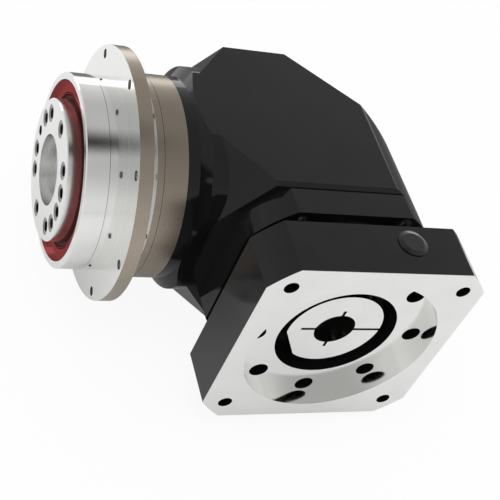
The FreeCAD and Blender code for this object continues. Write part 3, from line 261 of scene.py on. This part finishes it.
class Finish(Tree):
    """A material with its shader."""

    def __init__(self, name):
        self.material = bpy.data.materials.new(name)
        super().__init__(self.material)
        self.shader = self.tree.nodes["Principled BSDF"]

    def set(self, **values):
        """Sets or links the shader's sockets by name."""
        for name, value in values.items():
            self.feed(self.shader.inputs[name.replace("_", " ")], value)

    def place(self):
        """Object coordinates, whole and split in three."""
        coordinates = self.add("ShaderNodeTexCoord").outputs["Object"]
        return coordinates, self.add("ShaderNodeSeparateXYZ", coordinates).outputs

    def noise(self, vector, scale, detail, roughness):
        node = self.add("ShaderNodeTexNoise")
        self.feed(node.inputs["Vector"], vector)
        self.feed(node.inputs["Scale"], scale)
        self.feed(node.inputs["Detail"], detail)
        self.feed(node.inputs["Roughness"], roughness)
        return node.outputs[0]

    def spread(self, noise, low, high):
        """Maps a noise value to a range."""
        return self.ramp(noise, NOISE_LOW, NOISE_HIGH, low, high)

    def mix(self, share, first, second):
        return self.mixer("RGBA", MIX_COLOURS, share, first, second).outputs[MIX_COLOUR_OUT]

    def cloudy(self, coordinates, noise, colour, drift):
        """Colour that drifts between two shares of itself."""
        low, high = drift
        cloud = self.spread(self.noise(coordinates, *noise), 0.0, 1.0)
        return self.mix(cloud, shade(colour, low), shade(colour, high))

    def bump(self, height, strength, depth):
        node = self.add("ShaderNodeBump")
        self.feed(node.inputs["Strength"], strength)
        self.feed(node.inputs["Distance"], depth)
        self.feed(node.inputs["Height"], height)
        self.set(Normal=node.outputs[0])

    def both(self, first, second):
        """1 where both tests hold."""
        return self.math("MULTIPLY", first, second)

    def radius_from(self, first, second, offset=0.0):
        """Distance from an axis, from the two coordinates square to it."""
        first = self.math("SUBTRACT", first, offset)
        return self.math("SQRT", self.math("ADD", self.math("MULTIPLY", first, first),
                                           self.math("MULTIPLY", second, second)))

    def seam_lines(self, along, paint):
        """Paint with the thin line of each seam across it."""
        for place, colour in SEAMS:
            paint = self.mix(self.math("COMPARE", along, place, SEAM_HALF), paint, shade(colour))
        return paint

    def lathe_marks(self, along, radius):
        """Fine rings left by the turning tool, as noise over length and radius alone."""
        vector = self.add("ShaderNodeCombineXYZ", along, radius, 0.0).outputs[0]
        return self.noise(vector, *MARK_NOISE)


def turned_metal(name, colour, rough, bump=MARK_BUMP, axis="output", seams=False):
    """Turned metal: fine tool rings, a faint cloudiness and, where asked, the thin seam lines."""
    finish = Finish(name)
    coordinates, (x, y, z) = finish.place()
    if axis == "output":
        marks = finish.lathe_marks(x, finish.radius_from(y, z))
    else:
        marks = finish.lathe_marks(y, finish.radius_from(x, z, INPUT_X))
    paint = finish.cloudy(coordinates, STEEL_CLOUD, colour, STEEL_DRIFT)
    if seams:
        paint = finish.seam_lines(x, paint)
    finish.set(Base_Color=paint, Roughness=finish.spread(marks, *rough), Metallic=1.0)
    finish.bump(marks, *bump)
    return finish


def output_finish():
    """Bright turned steel, with another finish in the bore and on the disc's side, and darker grey in the
    thread mouths.
    """
    finish = Finish("bright_steel")
    coordinates, (x, y, z) = finish.place()
    radius = finish.radius_from(y, z)
    marks = finish.lathe_marks(x, radius)
    in_bore = finish.both(finish.math("LESS_THAN", radius, OUTPUT_BORE_R + EDGE),
                          finish.math("LESS_THAN", x, OUTPUT_FACE - EDGE))
    in_mouth = finish.both(finish.math("COMPARE", x, OUTPUT_FACE - MOUTH_BELOW_FACE, MOUTH_HALF_DEPTH),
                           finish.math("COMPARE", radius, MOUTH_PITCH_R, MOUTH_R))
    on_side = finish.math("COMPARE", radius, DISC_R, EDGE)
    paint = finish.cloudy(coordinates, STEEL_CLOUD, STEEL, STEEL_DRIFT)
    paint = finish.mix(in_bore, paint, shade(BORE_METAL))
    paint = finish.mix(in_mouth, paint, shade(MOUTH_METAL))
    rough = finish.spread(marks, *BRIGHT_ROUGH)
    rough = finish.mix_value(in_bore, rough, finish.spread(marks, *BORE_ROUGH))
    rough = finish.mix_value(on_side, rough, finish.spread(marks, *DISC_SIDE_ROUGH))
    finish.set(Base_Color=finish.seam_lines(x, paint), Roughness=rough, Metallic=1.0)
    finish.bump(marks, *MARK_BUMP)
    return finish


def flange_finish():
    """Plated steel: bright on the faces and necks, tinted on the flange's rim and on the rear band."""
    finish = Finish("plated_steel")
    coordinates, (x, y, z) = finish.place()
    radius = finish.radius_from(y, z)
    marks = finish.lathe_marks(x, radius)
    rim = finish.both(finish.math("GREATER_THAN", radius, FLANGE_R - EDGE),
                      finish.math("LESS_THAN", x, FLANGE_FACE - EDGE))
    band = finish.both(finish.math("GREATER_THAN", radius, BAND_R - EDGE),
                       finish.math("LESS_THAN", x, BAND_FRONT - EDGE))
    front = finish.math("COMPARE", x, FLANGE_FACE, EDGE)
    paint = finish.cloudy(coordinates, STEEL_CLOUD, FLANGE_METAL, STEEL_DRIFT)
    for where, colour in ((front, FLANGE_FRONT), (rim, RIM_TINT), (band, BAND_TINT)):
        paint = finish.mix(where, paint, shade(colour))
    rough = finish.spread(marks, *BRIGHT_ROUGH)
    rough = finish.mix_value(front, rough, finish.spread(marks, *FRONT_ROUGH))
    tinted = finish.math("MAXIMUM", rim, band)
    rough = finish.mix_value(tinted, rough, finish.spread(marks, *TINTED_ROUGH))
    finish.set(Base_Color=finish.seam_lines(x, paint), Roughness=rough, Metallic=1.0)
    finish.bump(marks, *FAINT_MARK_BUMP)
    return finish


def coat_finish():
    """Smooth black coat with a faint mottle and fine grain."""
    finish = Finish("black_anodised")
    coordinates, _ = finish.place()
    grain = finish.noise(coordinates, *COAT_GRAIN)
    finish.set(Base_Color=finish.cloudy(coordinates, COAT_CLOUD, COAT, COAT_DRIFT),
               Roughness=finish.spread(grain, *COAT_ROUGH), Specular_IOR_Level=COAT_GLOSS)
    finish.bump(grain, *COAT_BUMP)
    return finish


def adapter_finish():
    """Black coat all over, machined bare on the motor face and in the pilot recess."""
    finish = Finish("adapter_aluminium")
    coordinates, (x, y, z) = finish.place()
    radius = finish.radius_from(x, z, INPUT_X)
    marks = finish.lathe_marks(y, radius)
    grain = finish.noise(coordinates, *COAT_GRAIN)
    face = finish.math("GREATER_THAN", y, MOTOR_FACE - EDGE)
    recess = finish.both(finish.math("GREATER_THAN", y, PILOT_FLOOR - EDGE),
                         finish.math("LESS_THAN", radius, PILOT_R + EDGE))
    bare = finish.math("MAXIMUM", face, recess)
    coat = finish.cloudy(coordinates, STEEL_CLOUD, COAT, COAT_DRIFT)
    metal = finish.cloudy(coordinates, STEEL_CLOUD, MOTOR_METAL, MOTOR_DRIFT)
    rough = finish.mix_value(bare, finish.spread(grain, *COAT_ROUGH), finish.spread(marks, *MOTOR_ROUGH))
    finish.set(Base_Color=finish.mix(bare, coat, metal), Metallic=bare, Roughness=rough,
               Specular_IOR_Level=COAT_GLOSS)
    finish.bump(grain, *COAT_BUMP)
    return finish


def rubber(name, colour, rough, sheen=0.0, lip_shade_r=0.0):
    """Moulded rubber: uneven colour and a fine skin.

    Sheen tints its gloss, and inside the given lip radius the colour is painted shade: a dark red that
    stands in for the shade on the seal's lip, deep beside the disc.
    """
    finish = Finish(name)
    coordinates, (_, y, z) = finish.place()
    grain = finish.noise(coordinates, *RUBBER_GRAIN)
    paint = finish.cloudy(coordinates, RUBBER_CLOUD, colour, RUBBER_DRIFT)
    # Painted shade: the seal's lip, deep beside the disc, turns dark red all round
    if lip_shade_r:
        in_lip_shade = finish.math("LESS_THAN", finish.radius_from(y, z), lip_shade_r)
        paint = finish.mix(in_lip_shade, paint, shade(LIP_PAINTED_SHADE))
    finish.set(Base_Color=paint, Roughness=finish.spread(grain, *rough), Metallic=sheen,
               Specular_Tint=shade(colour) if sheen else WHITE)
    finish.bump(grain, *RUBBER_BUMP)
    return finish


def add_camera():
    """Camera at the photograph's angle."""
    camera = bpy.data.cameras.new("camera")
    camera.sensor_width = CAMERA_SENSOR
    camera.lens = CAMERA_LENS
    camera.clip_start, camera.clip_end = CAMERA_CLIP
    camera_object = bpy.data.objects.new("camera", camera)
    scene.collection.objects.link(camera_object)
    flat = math.cos(CAMERA_ELEVATION)
    back = Vector((flat * math.cos(CAMERA_AZIMUTH),
                   flat * math.sin(CAMERA_AZIMUTH),
                   math.sin(CAMERA_ELEVATION)))
    turn = (-back).to_track_quat("-Z", "Y").to_matrix() @ Matrix.Rotation(CAMERA_ROLL, 3, "Z")
    eye = Vector(CAMERA_AIM) + CAMERA_DISTANCE * back
    camera_object.matrix_world = Matrix.Translation(eye) @ turn.to_4x4()
    scene.camera = camera_object


def add_floor():
    """Floor: nearly white to the eye, and with more of its shadow in reflections."""
    bpy.ops.mesh.primitive_plane_add(size=FLOOR_SIZE, location=(0.0, 0.0, FLOOR_Z - FLOOR_GAP))
    floor = bpy.context.object
    floor.name = "floor"
    finish = Finish("floor")
    finish.set(Base_Color=shade(FLOOR_PALE), Roughness=MATT, Specular_IOR_Level=0.0)
    glow = finish.add("ShaderNodeEmission", WHITE)
    share = finish.seen_share(FLOOR_BY_EYE, FLOOR_BY_MIRROR)
    mixer = finish.add("ShaderNodeMixShader", share, finish.shader.outputs[0], glow.outputs[0])
    finish.feed(finish.tree.nodes["Material Output"].inputs["Surface"], mixer.outputs[0])
    floor.data.materials.append(finish.material)


def add_room():
    """Surroundings: a pale room, less so overhead."""
    world = bpy.data.worlds.new("studio")
    room = Tree(world)
    direction = room.add("ShaderNodeTexCoord").outputs["Generated"]
    height = room.add("ShaderNodeSeparateXYZ", direction).outputs["Z"]
    in_mirrors = room.ramp(height, ROOM_FOOT_END, ROOM_TOP_START, ROOM_SEEN, ROOM_TOP, "SMOOTHSTEP")
    level = room.mix_value(room.seen_share(0.0, 1.0), ROOM_LIGHT, in_mirrors)
    level = room.mix_value(room.seen_share(1.0, 0.0), level, ROOM_BY_EYE)
    background = room.tree.nodes["Background"]
    room.feed(background.inputs["Color"], WHITE)
    room.feed(background.inputs["Strength"], level)
    scene.world = world


def soft_box(name, place, aim, size, glow):
    """Soft rectangular lamp; glow is its brightness where it is seen in a mirror."""
    lamp = bpy.data.lights.new(name, "AREA")
    lamp.shape = "RECTANGLE"
    lamp.size, lamp.size_y = size
    lamp.energy = glow * math.pi * lamp.size * lamp.size_y
    box = bpy.data.objects.new(name, lamp)
    scene.collection.objects.link(box)
    box.location = place
    box.rotation_euler = (Vector(aim) - Vector(place)).to_track_quat("-Z", "Y").to_euler()
    return box


def dark_card(name, place, aim, size, tone, soft=False):
    """Card that shows only in reflections, as photographers hang beside bright metal; tone 0 is black.

    A soft card thins out from its middle line to two of its edges.
    """
    finish = Finish(name)
    finish.set(Base_Color=shade((tone, tone, tone)), Roughness=MATT)
    if soft:
        _, (_, across, _) = finish.place()
        off_middle = finish.math("ABSOLUTE", across)
        finish.set(Alpha=finish.ramp(off_middle, 0.0, CARD_HALF, CARD_MIDDLE, 0.0, "SMOOTHSTEP"))
    bpy.ops.mesh.primitive_plane_add(size=2 * CARD_HALF, location=place)
    card = bpy.context.object
    card.name = name
    card.scale = (*size, 1.0)
    card.rotation_euler = (Vector(aim) - Vector(place)).to_track_quat("Z", "Y").to_euler()
    card.data.materials.append(finish.material)
    for ray in ("visible_camera", "visible_diffuse", "visible_shadow"):
        setattr(card, ray, False)


# Finishes by the record's material slots; the input's own nodes are turned about the other axis
finishes = {
    "plated_steel": flange_finish(),
    "bright_steel": output_finish(),
    "tinted_steel": turned_metal("tinted_steel", BAND_TINT, TINTED_ROUGH, FAINT_MARK_BUMP, seams=True),
    "black_anodised": coat_finish(),
    "adapter_aluminium": adapter_finish(),
    "red_rubber": rubber("red_rubber", SEAL_RED, SEAL_ROUGH, SEAL_SHEEN, SEAL_LIP_SHADE_R),
    "black_rubber": rubber("black_rubber", RUBBER_BLACK, RUBBER_ROUGH),
    "gear_steel": turned_metal("gear_steel", GEAR_STEEL, GEAR_ROUGH),
    "bearing_steel": turned_metal("bearing_steel", BEARING_STEEL, BEARING_ROUGH),
    "screw_steel": turned_metal("screw_steel", SCREW_STEEL, SCREW_ROUGH),
    "bronze": turned_metal("bronze", BRONZE, BRONZE_ROUGH),
}
input_steel = turned_metal("input_steel", MOTOR_METAL, MOTOR_ROUGH, axis="input")
input_nodes = ("pinion_shaft", "clamp_ring")
slot_of = {part["node"]: part["material_slot"] for part in frame["record"]["subparts"]}
for name, node in nodes.items():
    finish = input_steel if name in input_nodes else finishes[slot_of[name]]
    node.data.materials.clear()
    node.data.materials.append(finish.material)

add_camera()
add_floor()
add_room()
key = soft_box("key", KEY_PLACE, KEY_AIM, KEY_SIZE, KEY_GLOW)
key.visible_glossy = False
soft_box("strip", STRIP_PLACE, STRIP_AIM, STRIP_SIZE, STRIP_GLOW)
dark_card("overhead_card", OVERHEAD_PLACE, OVERHEAD_AIM, OVERHEAD_SIZE, 0.0, soft=True)
dark_card("rear_card", REAR_PLACE, REAR_AIM, REAR_SIZE, REAR_TONE)
